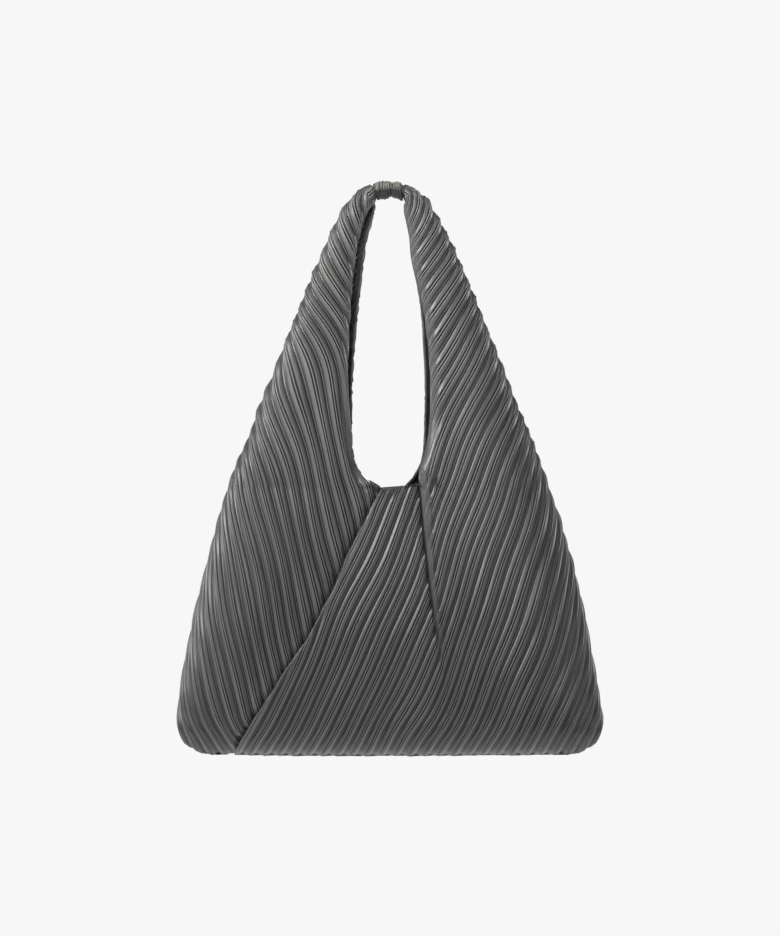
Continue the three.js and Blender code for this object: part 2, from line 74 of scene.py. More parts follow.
# %% Sizes of the cloth
MOUTH_Z = -289  # lowest point of the mouth
MOUTH_HALF = 36
MOUTH_SHIFT = -2
MOUTH_ROUND = 53  # height of the mouth's round lower end
MOUTH_SQUARENESS = 2.3
MOUTH_CENTRE_Z = MOUTH_Z + MOUTH_ROUND
CORNER_WIDTH = 42  # of a rounded corner at the bottom
CORNER_HEIGHT = 38
CORNER_SQUARENESS = 2.6
SIDE_ROUND = 105  # from the side edge to the flat front
HEM_ROUND = 13  # from the mouth's rim to the flat front
ARM_TURN = 0.62  # most of an arm's width that the turn at its side takes
ARM_HEM = 0.35  # and most of it that the turn at the rim takes
WRAPPED_TURN = 0.5  # both of them inside the wrap
MOUTH_WIDER = 0.12  # the side's turn is wider by this share beside the mouth, as it is in the pouch
BOTTOM_LIFT = 2  # of the bottom line, out at the corners
WRAP_SLANT = 4  # the wrap's left end leans by this
PITCH = 14.5  # one repeat of the pleats
CLOTH_HEIGHT = 2.8  # from the deepest groove to the highest ridge
CLOTH_BELOW = 2.5  # from the middle of the pleats to the inside
SEAM_TOP, SEAM_BOTTOM = -8, -157  # where the slanted seam starts and ends, sideways
SEAM_BOW = 9  # its middle bows this far to the right
SEAM_BOW_LENGTH = 134
SEAM_OVERLAP = 8  # the left panel goes on under the right one
SEAM_LEAD = 10  # and starts to go down this far before the seam
SEAM_DIP = 4.8
SEAM_CLOSES = 14  # above the bottom line, where overlap and dip fade to these shares:
LEAST_OVERLAP, LEAST_DIP = 0.1, 0.2

# %% [markdown]
# ## The sections
# A sleeve of cloth is easiest to describe by its sections, as a dressmaker marks a pattern. The pouch
# has level ones. Those of an arm tilt with it. Each row below gives one section's two ends, its depth
# and the slant of the pleats there, as shares of the sizes above. A smooth curve through the rows
# gives all the sections between them.

# %% Tables of the sections
# outer_drop, inner_drop, outer_left, outer_right, inner_left, inner_right, depth, rim,
# lean_left, lean_right, spread
ARM = np.array([
    (0.026, 0.021, 0.050, 0.055, 0.050, 0.030, 0.200, 0.30, 2, 2, 1.30),
    (0.052, 0.038, 0.100, 0.110, 0.080, 0.040, 0.220, 0.30, 8, 10, 1.30),
    (0.091, 0.062, 0.153, 0.148, 0.140, 0.095, 0.235, 0.32, 17, 22, 1.30),
    (0.169, 0.131, 0.215, 0.218, 0.360, 0.290, 0.250, 0.36, 23, 34, 1.30),
    (0.244, 0.204, 0.266, 0.271, 0.500, 0.380, 0.270, 0.40, 26, 35, 1.30),
    (0.341, 0.300, 0.332, 0.336, 0.640, 0.667, 0.310, 0.43, 33, 35, 1.30),
    (0.438, 0.401, 0.394, 0.396, 0.760, 0.857, 0.350, 0.46, 34, 35, 1.30),
    (0.536, 0.505, 0.455, 0.456, 0.880, 0.952, 0.390, 0.48, 25, 32, 1.30),
    (0.633, 0.609, 0.512, 0.516, 0.960, 1.030, 0.450, 0.50, 15, 29, 1.28),
    (0.731, 0.713, 0.577, 0.573, 1.000, 1.030, 0.520, 0.54, 16, 27, 1.20),
    (0.828, 0.817, 0.632, 0.637, 1.000, 1.000, 0.600, 0.58, 17, 25, 1.10),
    (0.912, 0.907, 0.690, 0.684, 1.000, 1.000, 0.670, 0.60, 16, 21, 1.03),
    (0.964, 0.962, 0.722, 0.712, 1.000, 1.000, 0.715, 0.62, 15, 19, 1.00),
    (0.9985, 0.998, 0.739, 0.729, 1.000, 1.000, 0.745, 0.64, 15, 18, 1.00),
])
# drop, outer_left, outer_right, depth, lean_left, lean_centre, lean_right
POUCH = np.array([
    (0.004, 0.743, 0.733, 0.748, 15.0, 24, 18.0),
    (0.060, 0.763, 0.755, 0.787, 14.5, 24, 18.0),
    (0.118, 0.783, 0.777, 0.820, 14.0, 24, 18.0),
    (0.249, 0.824, 0.822, 0.885, 13.0, 23, 18.0),
    (0.380, 0.865, 0.862, 0.940, 12.0, 23, 18.0),
    (0.511, 0.900, 0.897, 0.980, 12.0, 23, 18.0),
    (0.642, 0.935, 0.927, 1.000, 12.5, 23, 19.0),
    (0.773, 0.965, 0.954, 0.990, 14.0, 24, 21.0),
    (0.904, 0.990, 0.983, 0.950, 17.0, 25, 24.0),
    (1.000, 1.000, 1.000, 0.900, 21.0, 27, 27.0),
])
# how far beyond the wrap's end, top, bottom, half depth, share of WRAP_SLANT
ARM_END = np.array([
    (3.0, 14.6, -4.4, 9.6, 1.0), (0.5, 13.6, 0.4, 7.6, 1.0), (-1.5, 13.6, 5.0, 6.8, 0.9),
    (-8.0, 13.8, 5.4, 6.4, 0.5), (-20.0, 13.8, 5.4, 6.4, 0.0)])
LOW_DEPTH, MOUTH_RIM = POUCH[-1, 3], ARM[-1, 7]
RIM_BEFORE_WRAP, RIM_IN_WRAP = 0.3, 0.15
ARM_GAP = 0.5  # from an arm's end to the middle of the wrap
BOTTOM_LEAN = 30
BOTTOM_ROWS = 10
POUCH_STEP, ARM_STEP = 5.5, 7  # from one section to the next
LEFT, RIGHT = -1, 1


# %% Helpers for curves
def lerp(a, b, share):
    """A straight blend from a to b."""
    return a + (b - a) * share


def ease(low_end, high_end, value):
    """Smoothstep: 0 below low_end, 1 above high_end, 3t^2 - 2t^3 between them."""
    t = np.clip((value - low_end) / (high_end - low_end), 0, 1)
    return t * t * (3 - 2 * t)


def rounding(share):
    """A quarter ellipse, sqrt(1 - (1 - t)^2): it leaves 0 square on and arrives at 1 level."""
    return np.sqrt(1 - (1 - np.clip(share, 0, 1)) ** 2)


def bell(distance, width):
    """exp(-(2d / width)^2), a soft bump of about that width."""
    return np.exp(-((2 * distance / width) ** 2))


def through(rows, step):
    """A Catmull-Rom curve through the rows of a table, whose first two columns are a place in
    millimetres, with a row about every `step` along it."""
    gaps = np.hypot(*np.diff(rows[:, :2], axis=0).T)
    counts = np.ceil(gaps / step).astype(int)
    which = np.repeat(np.arange(len(gaps)), counts)
    t = np.concatenate([np.arange(n) / n for n in counts])[:, None]
    padded = rows[np.clip(np.arange(-1, len(rows) + 1), 0, len(rows) - 1)]
    a, b, c, d = (padded[which + k] for k in range(4))
    slope_b, slope_c, rise = (c - a) / 2, (d - b) / 2, c - b
    bend = (3 * rise - 2 * slope_b - slope_c) * t**2
    return np.vstack([b + slope_b * t + bend + (slope_b + slope_c - 2 * rise) * t**3, rows[-1:]])


# %% Lines that the cloth follows
def seam_x(z):
    """The slanted seam: a straight line from the mouth to the bottom, plus a soft bow."""
    middle = (MOUTH_Z + BOTTOM_Z) / 2
    bow = SEAM_BOW * bell(z - middle, SEAM_BOW_LENGTH)
    return lerp(SEAM_TOP, SEAM_BOTTOM, (MOUTH_Z - z) / (MOUTH_Z - BOTTOM_Z)) + bow


def mouth_half_at(z):
    """Half the mouth's width in its round end, a superellipse: (1 - t^n)^(1/n)."""
    t = np.clip((MOUTH_CENTRE_Z - z) / MOUTH_ROUND, 0, 1)
    return MOUTH_HALF * (1 - t**MOUTH_SQUARENESS) ** (1 / MOUTH_SQUARENESS)


def rim_distance(x, z):
    """Distance from the ellipse of the mouth's lower end: (r - 1) / |grad r|."""
    across = (x - MOUTH_SHIFT) / MOUTH_HALF
    down = (MOUTH_CENTRE_Z - z) / MOUTH_ROUND
    size = np.hypot(across, down)
    return (size - 1) * size / np.hypot(across / MOUTH_HALF, down / MOUTH_ROUND)


def outer_x(side, share):
    """Place of a side edge: share 0 is the wrap's end, and share 1 is the widest place of the bag."""
    return lerp(WRAP_SHIFT + side * WRAP_HALF_LENGTH, side * HALF_WIDTH, share)


# %% Sections of one side, from the bottom line up to the middle of the wrap
NAMES = ("outer_x", "outer_z", "inner_x", "inner_z", "opposite_x", "depth", "rim",
         "lean", "lean_middle", "pitch", "arm", "in_wrap")
COLUMN_OF = {name: k for k, name in enumerate(NAMES)}


def bottom_sections(side):
    """The rounded bottom: the depth follows a quarter circle, angle 0 to 90 degrees, and the corners
    are squarer: 1 - (1 - (1 - h)^n)^(1/n) of their width, h being the height in them."""
    angle = np.arange(BOTTOM_ROWS) / BOTTOM_ROWS * np.pi / 2
    z = BOTTOM_Z + CORNER_HEIGHT * (1 - np.cos(angle))
    squarer = 1 - (1 - (z - BOTTOM_Z) / CORNER_HEIGHT) ** CORNER_SQUARENESS
    corner = CORNER_WIDTH * (1 - squarer ** (1 / CORNER_SQUARENESS))
    zero = np.zeros_like(z)
    return np.column_stack([
        side * (HALF_WIDTH - corner), z, zero, z, -side * (HALF_WIDTH - corner),
        HALF_DEPTH * LOW_DEPTH * np.sin(angle), zero + MOUTH_RIM,
        zero + BOTTOM_LEAN, zero + BOTTOM_LEAN, zero + PITCH, zero, zero])


def pouch_sections(side):
    """Level sections, from the rounded bottom up to the mouth."""
    drop, left, right, depth, lean_left, lean_centre, lean_right = POUCH[::-1].T
    own, other = (right, left) if side == RIGHT else (left, right)
    z = MOUTH_Z - drop * (MOUTH_Z - BOTTOM_Z - CORNER_HEIGHT)
    zero = np.zeros_like(z)
    rows = np.column_stack([
        outer_x(side, own), z, zero, z, outer_x(-side, other), HALF_DEPTH * depth, zero + MOUTH_RIM,
        lean_right if side == RIGHT else lean_left, lean_centre if side == RIGHT else lean_left,
        zero + PITCH, zero, zero])
    return through(rows, POUCH_STEP)


def arm_sections(side):
    """Slanted sections up the arm, and a few more at and inside the wrap."""
    (outer_drop, inner_drop, outer_left, outer_right, inner_left, inner_right, depth, rim,
     lean_left, lean_right, spread) = ARM[::-1].T
    own_outer, own_inner, lean = ((outer_right, inner_right, lean_right) if side == RIGHT
                                  else (outer_left, inner_left, lean_left))
    low_end = WRAP_SHIFT + side * WRAP_HALF_LENGTH + (WRAP_SLANT if side == LEFT else 0)
    zero = np.zeros_like(depth)
    rows = np.column_stack([
        outer_x(side, own_outer), WRAP_HEIGHT - outer_drop * (WRAP_HEIGHT - MOUTH_Z),
        lerp(low_end, MOUTH_SHIFT + side * MOUTH_HALF, own_inner), inner_drop * MOUTH_Z,
        zero, HALF_DEPTH * depth, rim, lean, lean, PITCH * spread, zero + 1, zero])
    rows = through(rows, ARM_STEP)
    inner_z = rows[:, COLUMN_OF["inner_z"]]
    rounded = inner_z < MOUTH_CENTRE_Z
    rows[rounded, COLUMN_OF["inner_x"]] = MOUTH_SHIFT + side * mouth_half_at(inner_z[rounded])
    return np.vstack([rows, wrapped_sections(side, rows[-1])])


def wrapped_sections(side, last):
    """The arm's end at and inside the wrap. It is drawn in just before it, as a string would do it,
    goes on as a flat tube, and stops short of the other arm's end."""
    rows = np.repeat(last[None], len(ARM_END), axis=0)
    beyond, top, bottom, depth, slant = ARM_END.T
    outer = WRAP_SHIFT + side * np.maximum(WRAP_HALF_LENGTH + beyond, ARM_GAP)
    rows[:, COLUMN_OF["outer_x"]] = outer
    rows[:, COLUMN_OF["outer_z"]] = top
    rows[:, COLUMN_OF["inner_x"]] = outer + (WRAP_SLANT * slant if side == LEFT else 0)
    rows[:, COLUMN_OF["inner_z"]] = bottom
    rows[:, COLUMN_OF["depth"]] = depth
    rows[:, COLUMN_OF["rim"]] = np.where(beyond > 1, RIM_BEFORE_WRAP, RIM_IN_WRAP)
    rows[:, COLUMN_OF["in_wrap"]] = beyond < 1
    return rows


def sections_of(side):
    """All sections of a side as named columns, with their direction and length."""
    rows = np.vstack([bottom_sections(side), pouch_sections(side), arm_sections(side)])
    s = dict(zip(NAMES, rows.T[:, :, None]))
    dx, dz = s["inner_x"] - s["outer_x"], s["inner_z"] - s["outer_z"]
    s["length"] = np.hypot(dx, dz)
    s["along_x"], s["along_z"] = dx / s["length"], dz / s["length"]
    overlap = SEAM_OVERLAP * lerp(LEAST_OVERLAP, 1, ease(0, SEAM_CLOSES, s["outer_z"] - BOTTOM_Z))
    edge = seam_x(s["outer_z"]) + (overlap if side == LEFT else 0)
    s["reach"] = np.where(s["arm"] > 0, s["length"], np.abs(s["outer_x"] - edge))
    return s


def pleat_shift(s, side, lean):
    """How far the pleats have moved along each section. A pleat is followed from the middle of one
    section to the next one along its slant, and keeps its number there. The bulge makes the cloth
    longer than the section by `extra`. At the wrap a pleat stays in the middle."""
    shift = np.zeros_like(lean)
    for i in range(1, len(lean)):
        slant = np.radians((lean[i - 1] + lean[i]) / 2)
        direction_x, direction_z = side * np.sin(slant), np.cos(slant)
        middle = s["length"][i - 1] / 2
        from_x = s["outer_x"][i - 1] + s["along_x"][i - 1] * middle - s["outer_x"][i]
        from_z = s["outer_z"][i - 1] + s["along_z"][i - 1] * middle - s["outer_z"][i]
        crossing = from_x * direction_z - from_z * direction_x
        reached = crossing / (s["along_x"][i] * direction_z - s["along_z"][i] * direction_x)
        if i >= len(lean) - len(ARM_END):
            reached = s["length"][i] / 2
        before = middle + s["extra"][i - 1] - shift[i - 1]
        shift[i] = reached + s["extra"][i] - s["pitch"][i] * before / s["pitch"][i - 1]
    return shift


sections = {side: sections_of(side) for side in (RIGHT, LEFT)}
print("sections:", {side: len(s["depth"]) for side, s in sections.items()})

# %% [markdown]
# ## The smooth cloth
# Each section bulges to the front and to the back like a lens, steeply at the side edge and more
# gently at the mouth's rim. Samples along every section give a regular grid of points, its outward
# directions, and the length of cloth from the side edge. That length is what numbers the pleats.

# %% Points and outward directions of the smooth cloth
SAMPLES = 240
TUCK_TOP_Z = -265
TUCK_TOP_X, TUCK_REACH, TUCK_LENGTH = 28.3, 24, 200
TUCK_STARTS, TUCK_ENDS = (TUCK_TOP_Z, -200), (-480, -400)  # where it fades, in z
LIP_TOP_WIDTH, LIP_LOW_WIDTH = 9, 4.5
LIP_NARROWS = (-400, -290)
FLAT_ABOVE_TUCK = 15


def tuck_x(z):
    """The tuck runs on from the rim of the right arm and drifts right, slowly at first:
    (t + t^2) / 2 of TUCK_REACH, t being the way down it."""
    t = np.clip((TUCK_TOP_Z - z) / TUCK_LENGTH, -0.2, 1.3)
    return TUCK_TOP_X + TUCK_REACH * (t + t * t) / 2


def tuck_strength(z):
    """1 along the tuck, fading to 0 above it and at its lower end."""
    return ease(*TUCK_ENDS, z) * (1 - ease(*TUCK_STARTS, z))


def lip_width(z):
    """Width of the lip, which narrows on the way down."""
    return lerp(LIP_LOW_WIDTH, LIP_TOP_WIDTH, ease(*LIP_NARROWS, z))


def beyond_tuck(s, at):
    """Distance from the tuck, or from the rim of the arm, where the tuck's lip starts."""
    return np.where(s["arm"] > 0, at["to_rim"], at["points"][..., 0] - tuck_x(at["points"][..., 2]))


def smooth_cloth(side):
    """Front half: x and z go straight from the outer end inwards by d, and
    y = -depth * E(d / turn) * (rim + (1 - rim) * E(distance to rim / hem)), E being a quarter
    ellipse. The back half is its mirror image, but the front stays flat at the tuck. Returns arrays
    of sections by samples. The cloth's true length up to a section's middle, less the straight way
    there, is kept for the shifts of the pleats."""
    s = sections[side]
    t = np.linspace(0, 1, SAMPLES)
    d = s["reach"] * t**2 * (3 - 2 * t)
    x = s["outer_x"] + s["along_x"] * d
    z = s["outer_z"] + s["along_z"] * d
    wider = 1 + MOUTH_WIDER * (1 - ease(MOUTH_Z, MOUTH_CENTRE_Z, s["inner_z"]))
    most_turn = np.where(s["in_wrap"] > 0, WRAPPED_TURN, ARM_TURN * wider)
    most_hem = np.where(s["in_wrap"] > 0, WRAPPED_TURN, ARM_HEM)
    arm = s["arm"] > 0
    turn = np.where(arm, np.minimum(SIDE_ROUND, s["length"] * most_turn), SIDE_ROUND)
    hem = np.where(arm, np.minimum(HEM_ROUND, s["length"] * most_hem), HEM_ROUND)
    to_rim = np.where(arm, s["length"] - d, rim_distance(x, z))
    side_turns = rounding(d / turn) * np.where(arm, 1, rounding(np.abs(x - s["opposite_x"]) / turn))
    flat = (side == RIGHT) * arm * (1 - ease(MOUTH_Z, TUCK_TOP_Z + FLAT_ABOVE_TUCK, z))
    at_rim = rounding(to_rim / hem)
    y = -s["depth"] * side_turns * lerp(s["rim"], 1, at_rim)
    front_y = -s["depth"] * side_turns * lerp(s["rim"], 1, np.maximum(at_rim, flat))
    girth = np.cumsum(np.hypot(np.diff(d, prepend=0), np.diff(y, prepend=0)), axis=1)
    s["extra"] = np.array([np.interp(length[0] / 2, row, longer - row)
                           for length, row, longer in zip(s["length"], d, girth)])[:, None]
    s["shift"] = pleat_shift(s, side, s["lean"])
    s["middle_shift"] = pleat_shift(s, side, s["lean_middle"])
    lifted = 1 - ease(0, CORNER_HEIGHT, z - BOTTOM_Z)
    z = z + BOTTOM_LIFT * lifted * (x / HALF_WIDTH) ** 2

    both = lambda values, sign=1: np.concatenate([sign * values[:, :0:-1], values], axis=1)
    points = np.stack([both(x), np.concatenate([-y[:, :0:-1], front_y], axis=1), both(z)], axis=-1)
    cloth = {"points": points, "girth": both(girth, -1), "to_rim": both(to_rim),
             "front": both(np.ones_like(x), -1).clip(0, 1)}
    across = np.gradient(points, axis=1)
    upwards = np.gradient(points, axis=0)
    normals = side * np.cross(upwards, across)
    normals[0] = (0, 0, -1)
    tube = s["in_wrap"][:, 0] > 0
    normals[tube] = points[tube] * (0, 1, 1) - (0, 0, WRAP_MIDDLE_Z)
    cloth["normals"] = normals / np.linalg.norm(normals, axis=-1, keepdims=True)
    return cloth


smooth = {side: smooth_cloth(side) for side in (RIGHT, LEFT)}
for side, cloth in smooth.items():
    at_side_edge = cloth["normals"][len(cloth["normals"]) // 2, SAMPLES - 1]
    print("side", side, "points", cloth["points"].shape[:2], "outward", at_side_edge.round(2))

# %% [markdown]
# ## The front at the mouth
# Seen from the front, the back layer of the cloth shows as a dark strip inside the handle, because
# the front layer's rim is drawn aside. At the right corner of the mouth the front is square where the
# back is round. So the front's points move a little near the rim, and not at all by the side edge.

# %% Move the front's rim
# z, how far the rim of the front is drawn aside on the left arm and on the right one
SET_BACK = np.array([
    (0, 4, 0), (-15, 8, 0), (-70, 9, 0), (-110, 8, 2.5), (-150, 6, 5), (-205, 3, 5.5), (-232, 1, 5),
    (-262, 0, 2), (-289, 0, 0)])[::-1]
# x, how far the front's rim lies above the mouth's lowest point
RIM_LIFT = np.array([
    (-34, 0), (-20, 2.5), (-12, 1.2), (-7, -0.8), (-1, 1.2), (8, 2.3), (14, 2.8), (22, 5), (28, 6),
    (33, 0)])
LIFT_REACH = 30  # below the mouth's lowest point and above it
BACK_DROP = 3.5  # the back's rim lies lower than the front's there
FRONT_CORNER_X = 28.5
ASIDE_REACH, ASIDE_SHARE = 70, 0.75  # from the rim, in mm and as a share of the arm's width
BELOW_WRAP = 14  # where the rim is back in its place


def drawn_aside(side, s, cloth):
    """x moves away from the mouth by a(z) w, and z up by L(x) v(z), where w falls from 1 at the rim
    to 0 at three quarters of the arm's width and v is a smooth hump about the mouth's lower end."""
    x, z = cloth["points"][..., 0], cloth["points"][..., 2]
    rim_x, rim_z = s["inner_x"], s["inner_z"]
    aside = np.interp(rim_z, SET_BACK[:, 0], SET_BACK[:, 1 if side == LEFT else 2])
    if side == RIGHT:
        aside = np.maximum(aside, np.where(rim_z < MOUTH_CENTRE_Z, FRONT_CORNER_X - rim_x, 0))
    aside = aside * (s["arm"] > 0) * (s["in_wrap"] == 0) * ease(0, BELOW_WRAP, -rim_z)
    near = 1 - ease(0, np.minimum(ASIDE_REACH, ASIDE_SHARE * s["length"]), cloth["to_rim"])
    lift = np.interp(x, RIM_LIFT[:, 0], RIM_LIFT[:, 1])
    hump = ease(MOUTH_Z - LIFT_REACH, MOUTH_Z, z) * (1 - ease(MOUTH_Z + 4, MOUTH_Z + LIFT_REACH, z))
    cloth["points"][..., 0] += side * aside * near * cloth["front"]
    cloth["girth"] -= aside * near * cloth["front"]
    drop = BACK_DROP * bell(x - MOUTH_SHIFT, MOUTH_HALF)
    cloth["points"][..., 2] += hump * lerp(-drop, lift, cloth["front"])


for side, cloth in smooth.items():
    drawn_aside(side, sections[side], cloth)

# %% [markdown]
# ## Numbers of the pleats
# A pleat keeps its number all the way up the cloth, so the mesh's columns are lines of equal number:
# they run along the folds, and a crease stays sharp with few faces. One repeat holds a broad face
# that looks to the left, one that looks to the right, and a narrow fold in a pair of grooves between
# them, twenty columns in all. At the tuck the number jumps, because cloth is hidden in it.

# %% One repeat and all columns
# at, height, painted_light: place in the repeat, height as a share of CLOTH_HEIGHT, and how light the
# cloth is painted there, where 0 is painted shade in a groove and more than 1 is a painted highlight on a
# ridge
FOLD = np.array([
    (0.000, -0.52, 0.00), (0.035, -0.50, 0.00), (0.065, -0.18, 0.80), (0.150, 0.02, 1.10),
    (0.285, 0.32, 1.35), (0.320, 0.36, 2.00), (0.345, -0.20, 0.00), (0.400, -0.20, 0.00),
    (0.425, 0.36, 1.20), (0.455, 0.54, 2.60), (0.490, 0.34, 1.00), (0.515, -0.20, 0.00),
    (0.570, -0.20, 0.00), (0.595, 0.34, 1.30), (0.660, 0.24, 0.70), (0.760, 0.06, 0.58),
    (0.850, -0.14, 0.48), (0.870, -0.52, 0.00), (0.920, -0.52, 0.00), (0.945, -0.12, 1.30)])
REPEATS = 32  # to each side of number 0, which is the side edge at the bottom
COLUMNS = (np.arange(-REPEATS, REPEATS)[:, None] + FOLD[:, 0]).ravel()
COLUMNS = np.append(COLUMNS, REPEATS)
LEAST_RISE = 1e-5  # of the number from one sample to the next
APART = 1000.0  # keeps the numbers of different sections apart
INNER_STEP = 2  # the inside has every second column
INNER_PLEATS = 0.9  # height of the pleats on the inside, as a share of the outside's
INNER_LIGHT = 0.5  # the inside is painted this much lighter, since it lies in shade and its grooves are shallow


# %% Number the pleats and cut the cloth at them
def number_pleats(side, s, cloth):
    """number = (girth - shift) / pitch, plus a slow wander of about 0.2 at most, from three sine waves
    across the cloth, which makes no two pleats alike. Along a section it never falls."""
    x, z = cloth["points"][..., 0], cloth["points"][..., 2]
    of_centre = ease(-1.5, 1.5, tuck_x(z) - x) * cloth["front"] * (s["arm"] == 0)
    shift = lerp(s["shift"], s["middle_shift"], of_centre if side == RIGHT else 0)
    wander = (0.10 * np.sin(x / 23 + z / 61 + 1.3 * side) + 0.07 * np.sin(x / 13 - z / 47)
              + 0.05 * np.sin(x / 41 + z / 19 + 2.1))
    wander = wander * ease(0, CORNER_HEIGHT, z - BOTTOM_Z)
    number = (cloth["girth"] - shift) / s["pitch"] + wander
    rising = np.arange(number.shape[1]) * LEAST_RISE
    cloth["number"] = np.maximum.accumulate(number, axis=1) + rising


def at_columns(cloth, columns, fields):
    """Values of the fields where the sections cross the columns. Numbers of different sections are
    moved APART, so that one interpolation serves them all. Beyond a section's ends the columns
    gather at its end points."""
    number = cloth["number"]
    count = number.shape[1]
    apart = APART * np.arange(len(number))[:, None]
    level = np.repeat(columns[None], len(number), axis=0)
    level[0] = (columns - columns[::-1]) / 2
    first = np.sum(level <= number[:, :1], axis=1, keepdims=True) - 1
    last = np.sum(level < number[:, -1:], axis=1, keepdims=True)
    level = np.clip(level, number[:, :1], number[:, -1:])
    place = np.interp((level + apart).ravel(), (number + apart).ravel(),
                      np.tile(np.arange(count), len(number))).reshape(level.shape)
    before = np.minimum(place.astype(int), count - 2)
    share = place - before
    rows = np.arange(len(number))[:, None]
    found = {"level": level, "first": first, "last": last}
    for name in fields:
        a, b = cloth[name][rows, before], cloth[name][rows, before + 1]
        found[name] = lerp(a, b, share[..., None] if a.ndim == 3 else share)
    return found


for side, cloth in smooth.items():
    number_pleats(side, sections[side], cloth)
    print("side", side, "numbers", cloth["number"].min().round(1), cloth["number"].max().round(1))

# %% [markdown]
# ## Pleats, tuck and seam
# The relief is added along the outward directions. Hand-made folds are uneven, so each pleat gets its
# own slow rise and fall from sine waves with seeded random lengths. Pleats are pressed flat near a
# rim and inside the wrap. The tuck's lip is a soft roll that leans over a groove darkened by painted
# shade.

# %% Relief of the cloth
LOOPED_FOLD = np.vstack([FOLD, FOLD[:1] + (1, 0, 0)])
RIDGE_AT, GROOVE_AT = 0.455, 0.945
UNEVEN_RIDGE, UNEVEN_GROOVE = 0.26, 0.12
HEM_SHARE = 0.4  # of an arm's width that is flatter at its rim
HEM_WIDER = {RIGHT: 1.1, LEFT: 1.0}
RIM_PLEATS = {RIGHT: 0.3, LEFT: 0.6}  # share of the pleats' height that stays at a rim
WRAPPED_PLEATS = 0.3
SEAM_EDGE_PLEATS, LIP_PLEATS = 0.25, 0.08
uneven_random = np.random.default_rng(14)
WAVES = uneven_random.uniform(0, 1, (3, 2, 2 * REPEATS + 2))
print("folds in a repeat", len(FOLD), "uneven repeats", WAVES.shape[-1])


def uneven(which, number, along):
    """For each pleat, 0.6 sin(2 pi (v / a + b)) + 0.4 sin(2 pi (v / c + d)), v being the way along
    it, with wave lengths from 70 to 260 mm."""
    pleat = np.clip(np.floor(number).astype(int) + REPEATS, 0, 2 * REPEATS)
    long_wave, start = WAVES[which][:, pleat]
    slow = np.sin(2 * np.pi * (along / (150 + 110 * long_wave) + start))
    quick = np.sin(2 * np.pi * (along / (70 + 50 * start) + 3 * long_wave))
    return 0.6 * slow + 0.4 * quick


def under_seam(x, z):
    """0 on the uncovered left panel, 1 where the right panel covers it."""
    return ease(-SEAM_LEAD, -1, x - seam_x(z))


def folds_at(level, z):
    """Height and lightness at a pleat's number: straight lines through FOLD, and for the height
    UNEVEN_RIDGE * uneven near the ridge and UNEVEN_GROOVE * uneven near the groove on top."""
    share = level - np.floor(level)
    height = np.interp(share, LOOPED_FOLD[:, 0], LOOPED_FOLD[:, 1])
    light = np.interp(share, LOOPED_FOLD[:, 0], LOOPED_FOLD[:, 2])
    ridge = bell(share - RIDGE_AT, 0.4)
    groove = bell(share - GROOVE_AT, 0.3) + bell(share + 1 - GROOVE_AT, 0.3)
    height = height + UNEVEN_RIDGE * uneven(0, level, z) * ridge
    return height + UNEVEN_GROOVE * uneven(1, level, z) * groove, light


def strength_at_rims(side, s, to_rim):
    """Share of the pleats' height that stays near a rim and inside the wrap."""
    arm_hem = np.minimum(HEM_ROUND, HEM_SHARE * s["length"]) * HEM_WIDER[side]
    hem = np.where(s["arm"] > 0, arm_hem, HEM_ROUND * HEM_SHARE)
    strength = lerp(RIM_PLEATS[side], 1, ease(0, hem, to_rim))
    return strength * np.where(s["in_wrap"] > 0, WRAPPED_PLEATS, 1)


# %% Painted light and shade of the cloth
PLAIN_LIGHT = 0.95  # where the pleats are pressed flat
# painted light: a flat face is painted lighter at the top than at the bottom
TOP_LIGHT, LOW_LIGHT, LIGHT_FADES = 1.72, 0.83, (0, -420)
BOTTOM_LIGHT, BOTTOM_LINE = 0.3, 6  # painted shade makes the bottom line dark, over this height
SEAM_SHADE, SEAM_SHADE_WIDTH = 0.6, 5  # painted shadow: the left panel is darker under the seam's edge
# painted shade: dark lines before and behind the tuck's lip, and a painted shadow beside it
SHADE_LINE_BEFORE_LIP, SHADE_LINE_BEHIND_LIP, MOST_LINE_SHADE = 0.9, 0.6, 0.95
TUCK_SHADE, TUCK_SHADE_FROM, TUCK_SHADE_FADES = 0.55, -26, (-360, -300)
print("lightness of a flat face from", LOW_LIGHT, "at the bottom to", TOP_LIGHT, "at the top")


def lip_and_shade(s, at):
    """The lip of the tuck as a share from 0 to 1, and the share of painted light that is left by the
    painted dark lines of shade before and behind it and by the painted shadow beside it."""
    z = at["points"][..., 2]
    from_tuck, wide = beyond_tuck(s, at), lip_width(z)
    on_front = tuck_strength(z) * at["front"]
    lip = ease(-1.5, 0.5, from_tuck) * (1 - ease(wide - 1, wide + 2.5, from_tuck)) * on_front
    lines = SHADE_LINE_BEFORE_LIP * bell(from_tuck + 0.6, 3.2)
    lines = lines + SHADE_LINE_BEHIND_LIP * bell(from_tuck - wide - 1, 2.2)
    shade = TUCK_SHADE * ease(TUCK_SHADE_FROM, -3, from_tuck) * (from_tuck < 0)
    shade = shade * ease(*TUCK_SHADE_FADES, z) * at["front"] * (s["arm"] == 0)
    return lip, (1 - np.clip(lines, 0, MOST_LINE_SHADE) * on_front) * (1 - shade)


